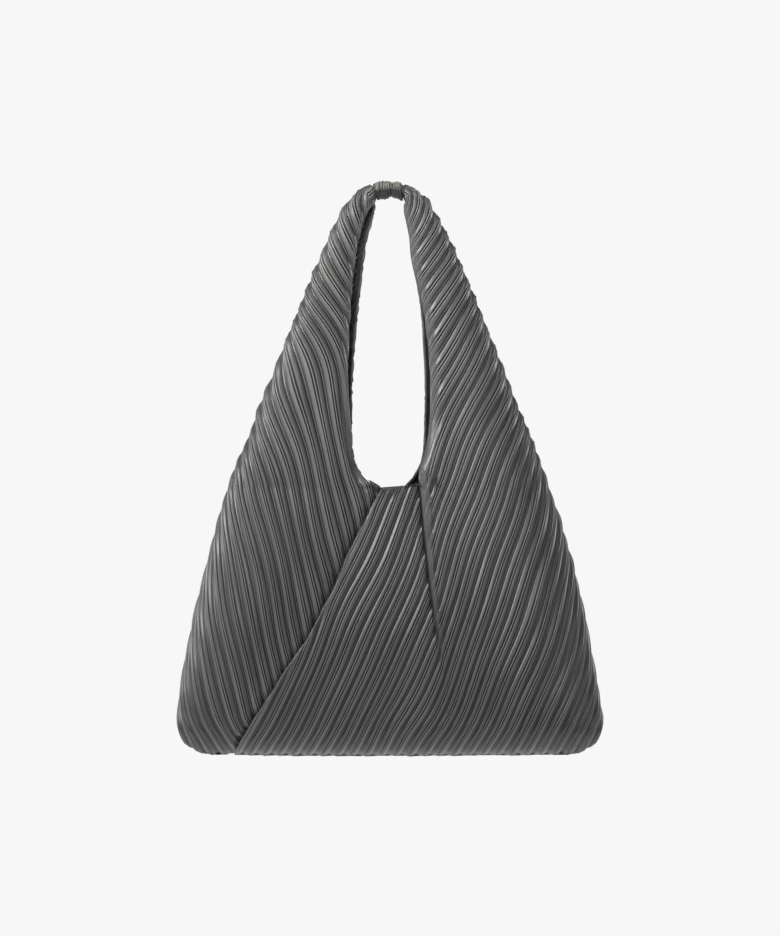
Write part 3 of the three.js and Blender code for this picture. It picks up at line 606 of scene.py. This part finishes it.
def relief(side, s, at):
    """Height of the pleats, strength(place) * CLOTH_HEIGHT * fold(number). The painted light and shade go
    into `painted_light`, drawn to PLAIN_LIGHT where the strength is low."""
    x, z = at["points"][..., 0], at["points"][..., 2]
    below = s["arm"] == 0
    from_edge = x - seam_x(z)
    height, light = folds_at(at["level"], z)
    strength = strength_at_rims(side, s, at["to_rim"])
    # painted light: lighter at the top, darker towards the bottom, and a painted dark line of shade at
    # the bottom line
    shading = lerp(TOP_LIGHT, LOW_LIGHT, ease(*LIGHT_FADES, z))
    shading = shading * lerp(BOTTOM_LIGHT, 1, ease(0, BOTTOM_LINE, z - BOTTOM_Z))
    if side == LEFT:
        strength = strength * (1 - below * ease(-2, 1.5, from_edge))
        # painted shadow of the right panel's edge on the left panel
        light = light * (1 - SEAM_SHADE * below * ease(-SEAM_SHADE_WIDTH, 0, from_edge))
    else:
        lip, shade = lip_and_shade(s, at)
        at_edge = below * (1 - ease(1.5, 5, from_edge))
        strength = strength * (1 - (1 - SEAM_EDGE_PLEATS) * at_edge) * (1 - (1 - LIP_PLEATS) * lip)
        # painted shade of the dark lines and the shadow by the tuck's lip
        shading = shading * shade
    at["painted_light"] = lerp(PLAIN_LIGHT, light, strength) * shading
    return strength * CLOTH_HEIGHT * height


# %% Folds of the whole cloth
LIP_HEIGHT, LIP_FALL = 2.6, 20  # the lip falls away over this width behind it
GROOVE_BEFORE_LIP, GROOVE_BEHIND_LIP = 1.6, 1.3
SEAM_ROLL = 0.7
GATHER_X, GATHER_SPREAD, GATHER_DIP = -40, 15, 1.8  # the soft gather on the left below the mouth
print("tuck from", TUCK_TOP_Z, "down to", TUCK_ENDS[0], "lip", LIP_TOP_WIDTH, "to", LIP_LOW_WIDTH, "wide")


def big_folds(side, s, at):
    """Folds of the whole cloth: the tuck's lip (0 to 1 in 2 mm, then an easy fall over LIP_FALL), the
    rolled edge at the seam, the soft gather on the left, and the dip of the left panel."""
    x, z = at["points"][..., 0], at["points"][..., 2]
    below = s["arm"] == 0
    if side == RIGHT:
        from_tuck, wide = beyond_tuck(s, at), lip_width(z)
        roll = ease(-1.5, 0.8, from_tuck) * (1 - ease(wide, wide + LIP_FALL, from_tuck))
        grooves = GROOVE_BEFORE_LIP * bell(from_tuck + 2.2, 5)
        grooves = grooves + GROOVE_BEHIND_LIP * bell(from_tuck - wide - 1, 2.6)
        edge = SEAM_ROLL * bell(x - seam_x(z) - 1.5, 4) * below
        return (LIP_HEIGHT * roll - grooves) * tuck_strength(z) * at["front"] + edge
    gather = ease(MOUTH_Z - 100, MOUTH_Z - 30, z) * (1 - ease(MOUTH_Z + 10, MOUTH_Z + 60, z))
    gather = gather * bell(x - GATHER_X, GATHER_SPREAD) * at["front"]
    dip = under_seam(x, z) * below * lerp(LEAST_DIP, 1, ease(0, SEAM_CLOSES, z - BOTTOM_Z))
    return -GATHER_DIP * gather - SEAM_DIP * dip


def wavy_edge(side, s, at, places):
    """The folded edge at the seam is not quite straight: it moves by up to 0.8 mm within 12 mm."""
    if side == RIGHT:
        z = at["points"][..., 2]
        near = (1 - ease(0, 12, at["points"][..., 0] - seam_x(z))) * (s["arm"] == 0)
        places[..., 0] += (0.5 * np.sin(z / 9) + 0.3 * np.sin(z / 3.7 + 1)) * near


def cloth_places(side, columns, outside):
    """Places of one face of the cloth, and what its mesh needs to know."""
    s, cloth = sections[side], smooth[side]
    at = at_columns(cloth, columns, ("points", "normals", "to_rim", "front"))
    at["normals"] /= np.linalg.norm(at["normals"], axis=-1, keepdims=True)
    height = relief(side, s, at)
    if not outside:
        height = INNER_PLEATS * height - CLOTH_BELOW
        # painted light on the inside
        at["painted_light"] = INNER_LIGHT + at["painted_light"]
    height = height + big_folds(side, s, at)
    at["places"] = at["points"] + at["normals"] * height[..., None]
    wavy_edge(side, s, at, at["places"])
    return at


# %% [markdown]
# ## From grids to one closed sheet
# The outside and the inside are grids of sections by columns. Columns that gather at a section's end
# share one point there. The front and the back share their points along the bottom line. Narrow
# strips close the rims and the end in the wrap, so each panel is one closed body.

# %% Mesh builders
def grid_ids(at, start):
    """Number of the point at each crossing, with gathered and shared points numbered once."""
    rows, columns = at["level"].shape
    across = np.clip(np.arange(columns)[None], at["first"], at["last"])
    across[0] = np.maximum(across[0], columns - 1 - across[0])
    return start + np.arange(rows)[:, None] * columns + across


def grid_faces(ids):
    """Four-sided faces between neighbours, or three-sided ones where two points are the same."""
    a, b, c, d = ids[:-1, :-1], ids[:-1, 1:], ids[1:, 1:], ids[1:, :-1]
    low, high_side = a != b, c != d
    quads = np.stack([a, b, c, d], axis=-1)[low & high_side]
    lower = np.stack([a, b, c], axis=-1)[low & ~high_side]
    upper = np.stack([a, c, d], axis=-1)[~low & high_side]
    return quads, np.concatenate([lower, upper])


def make_mesh(name, points, faces, attributes, uv=None):
    """A mesh object in metres with smooth faces and one number per point for each attribute."""
    used = np.unique(np.concatenate([np.ravel(f) for f in faces]))
    renumber = np.full(len(points), -1)
    renumber[used] = np.arange(len(used))
    lists = []
    for group in faces:
        lists += renumber[group].tolist()
    mesh = bpy.data.meshes.new(name)
    mesh.from_pydata((points[used] * MM).tolist(), [], lists)
    for key, values in attributes.items():
        layer = mesh.attributes.new(key, "FLOAT", "POINT")
        layer.data.foreach_set("value", values[used].astype(np.float32))
    if uv is not None:
        corner = np.zeros(len(mesh.loops), np.int32)
        mesh.loops.foreach_get("vertex_index", corner)
        layer = mesh.uv_layers.new(name="cloth")
        layer.data.foreach_set("uv", uv[used][corner].astype(np.float32).ravel())
    mesh.polygons.foreach_set("use_smooth", np.ones(len(mesh.polygons), bool))
    mesh.validate()
    piece = bpy.data.objects.new(name, mesh)
    bpy.context.scene.collection.objects.link(piece)
    mesh.calc_loop_triangles()
    print(name, len(mesh.vertices), "points", len(mesh.loop_triangles), "triangles")
    return piece


def panel(side, name):
    """One panel of the bag as a closed body."""
    outer = cloth_places(side, COLUMNS, True)
    inner = cloth_places(side, COLUMNS[::INNER_STEP], False)
    ids = grid_ids(outer, 0)
    inner_ids = grid_ids(inner, ids.size)
    outer_quads, outer_triangles = grid_faces(ids)
    inner_quads, inner_triangles = grid_faces(inner_ids)
    rims = []
    for end in (0, -1):
        low_out, high_out = ids[:-1, end], ids[1:, end]
        low_in, high_in = inner_ids[:-1, end], inner_ids[1:, end]
        strip = np.stack([low_out, high_out, high_in, low_in], axis=-1)
        rims.append(strip if end == 0 else strip[:, ::-1])
    top = []
    for k in range(inner_ids.shape[1] - 1):
        fan = [*ids[-1, k * INNER_STEP:(k + 1) * INNER_STEP + 1], inner_ids[-1, k + 1], inner_ids[-1, k]]
        fan = list(dict.fromkeys(int(i) for i in fan))
        if len(fan) > 2:
            top.append(fan)
    groups = [outer_quads, outer_triangles, inner_quads[:, ::-1], inner_triangles[:, ::-1], *rims]
    if side == LEFT:
        groups = [group[:, ::-1] for group in groups]
        top = [fan[::-1] for fan in top]
    both = lambda key: np.concatenate([outer[key].ravel(), inner[key].ravel()])
    points = np.concatenate([outer["places"].reshape(-1, 3), inner["places"].reshape(-1, 3)])
    tone = uneven(2, both("level"), points[:, 2])
    uv = np.column_stack([both("level") * PITCH, points[:, 2]]) / 100
    faces = [group for group in groups] + [np.array([fan]) for fan in top]
    return make_mesh(name, points, faces, {"painted_light": both("painted_light"), "tone": tone}, uv)


right_cloth = panel(RIGHT, "right_cloth")
left_cloth = panel(LEFT, "left_cloth")

# %% [markdown]
# ## The wrap
# A short sleeve of the same satin is drawn tight round the top of the handle, where the two arms
# meet. Its gathers run round the handle, unevenly. Its top is a low hump with a nick in it, and its
# lower edge is scalloped, so both outlines are curves through a few given points.

# %% Wrap round the handle
WRAP_AROUND, WRAP_ALONG = 96, 121
WRAP_TOP = np.array([
    (-17, 15.4), (-15, 16.3), (-11, 18), (-6.5, 18.9), (-2, 18.6), (1, 17.9), (2.4, 16.9), (4, 17.7),
    (9, 18), (11, 17), (13, 15.2)])
WRAP_LOW = np.array([
    (-17, -2), (-12.2, -1.6), (-9, -0.2), (-4.6, -0.8), (-1.5, 0.5), (1.2, 2.4), (3.6, 0.9),
    (8, -0.2), (10, -1.6), (13, -2.6)])
GATHERS = np.array([0.09, 0.20, 0.30, 0.38, 0.47, 0.56, 0.645, 0.73, 0.81, 0.90])
GATHER_WIDTH, GATHER_DEPTH = 0.045, 1.5
GATHER_SWAY, GATHER_FAN = 0.012, 0.22  # the gathers sway, and fan out towards the underside
WRAP_CLOTH = 1.3
WRAP_HEM, HEM_DROP = 0.09, 0.5  # share of the length, and how far an end turns in
# painted light: dark underneath, light on top, and painted shade inside the wrap
WRAP_LOW_LIGHT, WRAP_TOP_LIGHT, WRAP_INSIDE_LIGHT = 0.12, 1.35, 0.3


def wrap_surface(turn, share, inside):
    """x goes along the handle and turn goes round it, 90 degrees being the top. The section is an
    ellipse between the two outlines, less GATHER_DEPTH times a bell about each gather."""
    low_part = 0.5 - 0.5 * np.sin(turn)
    sway = GATHER_SWAY * np.sin(turn[..., None] * 2 + 9 * GATHERS)
    sway = sway + (GATHERS - 0.5) * GATHER_FAN * low_part[..., None]
    depth = GATHER_DEPTH * (0.6 + 0.4 * np.sin(turn[..., None] * 1.5 + 17 * GATHERS))
    valleys = np.sum(depth * bell(share[..., None] - GATHERS - sway, GATHER_WIDTH), axis=-1)
    ends = 1 - ease(0, WRAP_HEM, share) * ease(0, WRAP_HEM, 1 - share)
    inward = WRAP_CLOTH if inside else 0.6 * valleys * WRAP_CLOTH / GATHER_DEPTH + HEM_DROP * ends
    left_end = WRAP_SHIFT - WRAP_HALF_LENGTH + WRAP_SLANT * low_part
    x = lerp(left_end, WRAP_SHIFT + WRAP_HALF_LENGTH, share)
    top = np.interp(x, WRAP_TOP[:, 0], WRAP_TOP[:, 1])
    low = np.interp(x, WRAP_LOW[:, 0], WRAP_LOW[:, 1])
    y = (WRAP_HALF_DEPTH - inward) * np.cos(turn)
    z = (top + low) / 2 + ((top - low) / 2 - inward) * np.sin(turn)
    # painted light: lighter on top, darker underneath, painted shadow at the turned-in ends and painted
    # shade in the gathers
    shade = lerp(WRAP_LOW_LIGHT, WRAP_TOP_LIGHT, ease(-0.2, 0.9, np.sin(turn))) * (1 - 0.9 * ends)
    return np.stack([x, y, z], axis=-1), np.clip(1 - valleys / GATHER_DEPTH, 0, 1) * shade


def wrap_cloth():
    """The outside, and back along the inside, as one grid that closes both ways."""
    turn, share = np.meshgrid(np.arange(WRAP_AROUND) / WRAP_AROUND * 2 * np.pi,
                              np.linspace(0, 1, WRAP_ALONG), indexing="ij")
    outside, lightness = wrap_surface(turn, share, False)
    inside, _ = wrap_surface(turn[:, ::-1], share[:, ::-1], True)
    points = np.concatenate([outside, inside], axis=1)
    ids = np.arange(points[..., 0].size).reshape(points.shape[:2])
    closed = np.vstack([ids, ids[:1]])
    closed = np.hstack([closed, closed[:, :1]])
    quads = np.stack([closed[:-1, :-1], closed[1:, :-1], closed[1:, 1:], closed[:-1, 1:]], axis=-1)
    painted_lights = np.concatenate([lightness, 0 * lightness + WRAP_INSIDE_LIGHT], axis=1).ravel()
    uv = np.stack([points[..., 0], np.concatenate([turn, turn], axis=1) * WRAP_MIDDLE_Z], axis=-1) / 100
    return make_mesh("wrap_cloth", points.reshape(-1, 3), [quads.reshape(-1, 4)],
                     {"painted_light": painted_lights, "tone": 0 * painted_lights}, uv.reshape(-1, 2))


wrap = wrap_cloth()

# %% [markdown]
# ## Satin
# The cloth is a dark grey satin, and its faces shine softly. Its colour is painted nearly black in the
# grooves as painted shade, and lighter than the faces on the crests as painted highlights. The colour is
# mixed from the mesh's attribute of painted light and shade, and from another that makes some pleats a
# touch warmer. A twill that is finer than a millimetre, and fine noise, are left to bump.

# %% Materials
TWILL_TURN, TWILL_SCALE, NOISE_SCALE = 0.7, 60.0, 900.0
BUMP_STRENGTH, BUMP_DISTANCE = 0.12, 0.0002  # in metres


def node(tree, kind, place, **values):
    """A new shader node: a value goes to the input of its name, or else to the property."""
    made = tree.nodes.new(kind)
    made.location = place
    for key, value in values.items():
        if key in made.inputs:
            made.inputs[key].default_value = value
        else:
            setattr(made, key, value)
    return made


def satin(name, shade_colour, middle, warm, rough):
    """Principled satin: from the painted shade colour in the grooves to the face colour by the attribute
    `painted_light`, shade_colour + painted_light * (face - shade_colour), which paints highlights above
    1;
    the face goes from middle to warm by the attribute `tone`."""
    material = bpy.data.materials.new(name)
    material.use_nodes = True
    tree = material.node_tree
    shader = tree.nodes["Principled BSDF"]
    link = tree.links.new
    painted_lights = node(tree, "ShaderNodeAttribute", (-900, 200), attribute_name="painted_light")
    tone = node(tree, "ShaderNodeAttribute", (-900, 0), attribute_name="tone")
    grey = node(tree, "ShaderNodeMix", (-500, 200), data_type="RGBA", blend_type="MIX")
    grey.inputs["A"].default_value = (*middle, 1)
    grey.inputs["B"].default_value = (*warm, 1)
    amount = node(tree, "ShaderNodeMapRange", (-700, 0))
    amount.inputs["From Min"].default_value = -1
    link(tone.outputs["Fac"], amount.inputs["Value"])
    link(amount.outputs["Result"], grey.inputs["Factor"])
    colour = node(tree, "ShaderNodeMix", (-250, 200), data_type="RGBA", blend_type="MIX")
    colour.inputs["A"].default_value = (*shade_colour, 1)
    colour.clamp_factor = False
    link(painted_lights.outputs["Fac"], colour.inputs["Factor"])
    link(grey.outputs["Result"], colour.inputs["B"])
    link(colour.outputs["Result"], shader.inputs["Base Color"])
    uv = node(tree, "ShaderNodeUVMap", (-1100, -300), uv_map="cloth")
    turned = node(tree, "ShaderNodeMapping", (-900, -300))
    turned.inputs["Rotation"].default_value = (0, 0, TWILL_TURN)
    link(uv.outputs["UV"], turned.inputs["Vector"])
    twill = node(tree, "ShaderNodeTexWave", (-700, -300), Scale=TWILL_SCALE, Distortion=0.6)
    link(turned.outputs["Vector"], twill.inputs["Vector"])
    noise = node(tree, "ShaderNodeTexNoise", (-700, -550), Scale=NOISE_SCALE, Detail=3.0)
    place = node(tree, "ShaderNodeTexCoord", (-1100, -550))
    link(place.outputs["Object"], noise.inputs["Vector"])
    joined = node(tree, "ShaderNodeMath", (-500, -400), operation="ADD")
    link(twill.outputs["Fac"], joined.inputs[0])
    link(noise.outputs["Fac"], joined.inputs[1])
    bump = node(tree, "ShaderNodeBump", (-300, -400), Strength=BUMP_STRENGTH, Distance=BUMP_DISTANCE)
    link(joined.outputs["Value"], bump.inputs["Height"])
    link(bump.outputs["Normal"], shader.inputs["Normal"])
    shader.inputs["Roughness"].default_value = rough
    shader.inputs["Specular IOR Level"].default_value = 0.6
    shader.inputs["Sheen Weight"].default_value = 0.05
    shader.inputs["Sheen Roughness"].default_value = 0.4
    return material


# the first colour of each satin is the painted shade in its grooves
PLEATS_SHADE, PLEATS_FACE = (0.004, 0.004, 0.005), (0.068, 0.068, 0.072)
PLEATS_WARM = (0.094, 0.094, 0.089)
WRAP_SHADE, WRAP_FACE = (0.010, 0.010, 0.009), (0.19, 0.19, 0.16)
pleated_satin = satin("pleated_satin", PLEATS_SHADE, PLEATS_FACE, PLEATS_WARM, 0.35)
gathered_satin = satin("gathered_satin", WRAP_SHADE, WRAP_FACE, WRAP_FACE, 0.40)
for piece, material, slot, solid in (
        (right_cloth, pleated_satin, "pleated_cloth", "right_panel"),
        (left_cloth, pleated_satin, "pleated_cloth", "left_panel"),
        (wrap, gathered_satin, "wrap_cloth", "handle_wrap")):
    piece.data.materials.append(material)
    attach(piece, "root")
    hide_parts(solid)
    print(piece.name, "replaces", solid, "in", material.name)

# %% [markdown]
# ## Camera, light and floor
# The photo looks straight at the front through a long lens. One pixel is one millimetre at the bag,
# and the hang point is 199 pixels below the upper edge of the picture. The background is nearly white
# and flat, so the camera sees a pale sky of that colour, while the sky itself gives only a dim light.
# Four soft lamps shape the pleats on the front, and three behind the bag show its back and sides.

# %% Camera
PICTURE_HEIGHT, HANG_POINT_ROW = 936, 199
CAMERA_DISTANCE, SENSOR_HEIGHT = 8.0, 24
camera_data = bpy.data.cameras.new("camera")
camera_data.sensor_fit = "VERTICAL"
camera_data.sensor_height = SENSOR_HEIGHT
camera_data.lens = SENSOR_HEIGHT * CAMERA_DISTANCE / (PICTURE_HEIGHT * MM)
camera_data.clip_end = 60
camera = bpy.data.objects.new("camera", camera_data)
camera.location = (0, -CAMERA_DISTANCE, (HANG_POINT_ROW - PICTURE_HEIGHT / 2) * MM)
camera.rotation_euler = (np.pi / 2, 0, 0)
bpy.context.scene.collection.objects.link(camera)
bpy.context.scene.camera = camera
print("lens", round(camera_data.lens), "mm")


# %% Lamps
def soft_lamp(name, place, towards, size, power):
    """A soft lamp in watts that looks at a point. Its size is width by height in metres."""
    data = bpy.data.lights.new(name, "AREA")
    data.shape = "RECTANGLE"
    data.size, data.size_y = size
    data.energy = power
    lamp = bpy.data.objects.new(name, data)
    lamp.location = place
    direction = np.array(towards) - np.array(place)
    lamp.rotation_euler = Vector(direction).to_track_quat("-Z", "Y").to_euler()
    bpy.context.scene.collection.objects.link(lamp)
    print("lamp", name, power, "W")


AIM = (0, 0, -0.27)
soft_lamp("key", (-2.1, -1.2, 1.1), AIM, (0.6, 1.0), 68)
soft_lamp("fill", (2.1, -1.9, 0.2), AIM, (0.6, 1.4), 12)
soft_lamp("front", (-0.4, -3.0, 1.0), AIM, (0.5, 0.5), 22)
soft_lamp("top", (0.1, -0.9, 2.0), AIM, (1.2, 0.6), 14)
soft_lamp("back", (0.5, 3.0, 0.9), AIM, (1.4, 1.4), 50)
soft_lamp("back_right", (2.6, 1.5, 0.3), AIM, (0.6, 1.4), 26)
soft_lamp("back_left", (-2.6, 1.5, 0.3), AIM, (0.6, 1.4), 18)

# %% Sky and floor
world = bpy.data.worlds.new("studio")
bpy.context.scene.world = world
world.use_nodes = True
tree = world.node_tree
pale = tree.nodes["Background"]
pale.inputs["Color"].default_value = (0.93, 0.93, 0.93, 1)
pale.inputs["Strength"].default_value = 1.0
dim = node(tree, "ShaderNodeBackground", (0, -200), Color=(0.8, 0.8, 0.82, 1), Strength=0.16)
seen = node(tree, "ShaderNodeLightPath", (-200, 200))
mix = node(tree, "ShaderNodeMixShader", (200, 100))
tree.links.new(seen.outputs["Is Camera Ray"], mix.inputs["Fac"])
tree.links.new(dim.outputs["Background"], mix.inputs[1])
tree.links.new(pale.outputs["Background"], mix.inputs[2])
tree.links.new(mix.outputs["Shader"], tree.nodes["World Output"].inputs["Surface"])
bpy.context.scene.view_settings.view_transform = "Standard"

FLOOR_Z, FLOOR_HALF = -0.95, 1.4
floor_mesh = bpy.data.meshes.new("floor")
floor_signs = [(-1, -1), (1, -1), (1, 1), (-1, 1)]
floor_corners = [(a * FLOOR_HALF, b * FLOOR_HALF, FLOOR_Z) for a, b in floor_signs]
floor_mesh.from_pydata(floor_corners, [], [(0, 1, 2, 3)])
floor = bpy.data.objects.new("floor", floor_mesh)
bpy.context.scene.collection.objects.link(floor)
pale_floor = bpy.data.materials.new("pale_floor")
pale_floor.use_nodes = True
floor_shader = pale_floor.node_tree.nodes["Principled BSDF"]
floor_shader.inputs["Base Color"].default_value = (0.85, 0.85, 0.85, 1)
floor_shader.inputs["Roughness"].default_value = 0.9
floor_mesh.materials.append(pale_floor)
print("floor at", FLOOR_Z, "m")
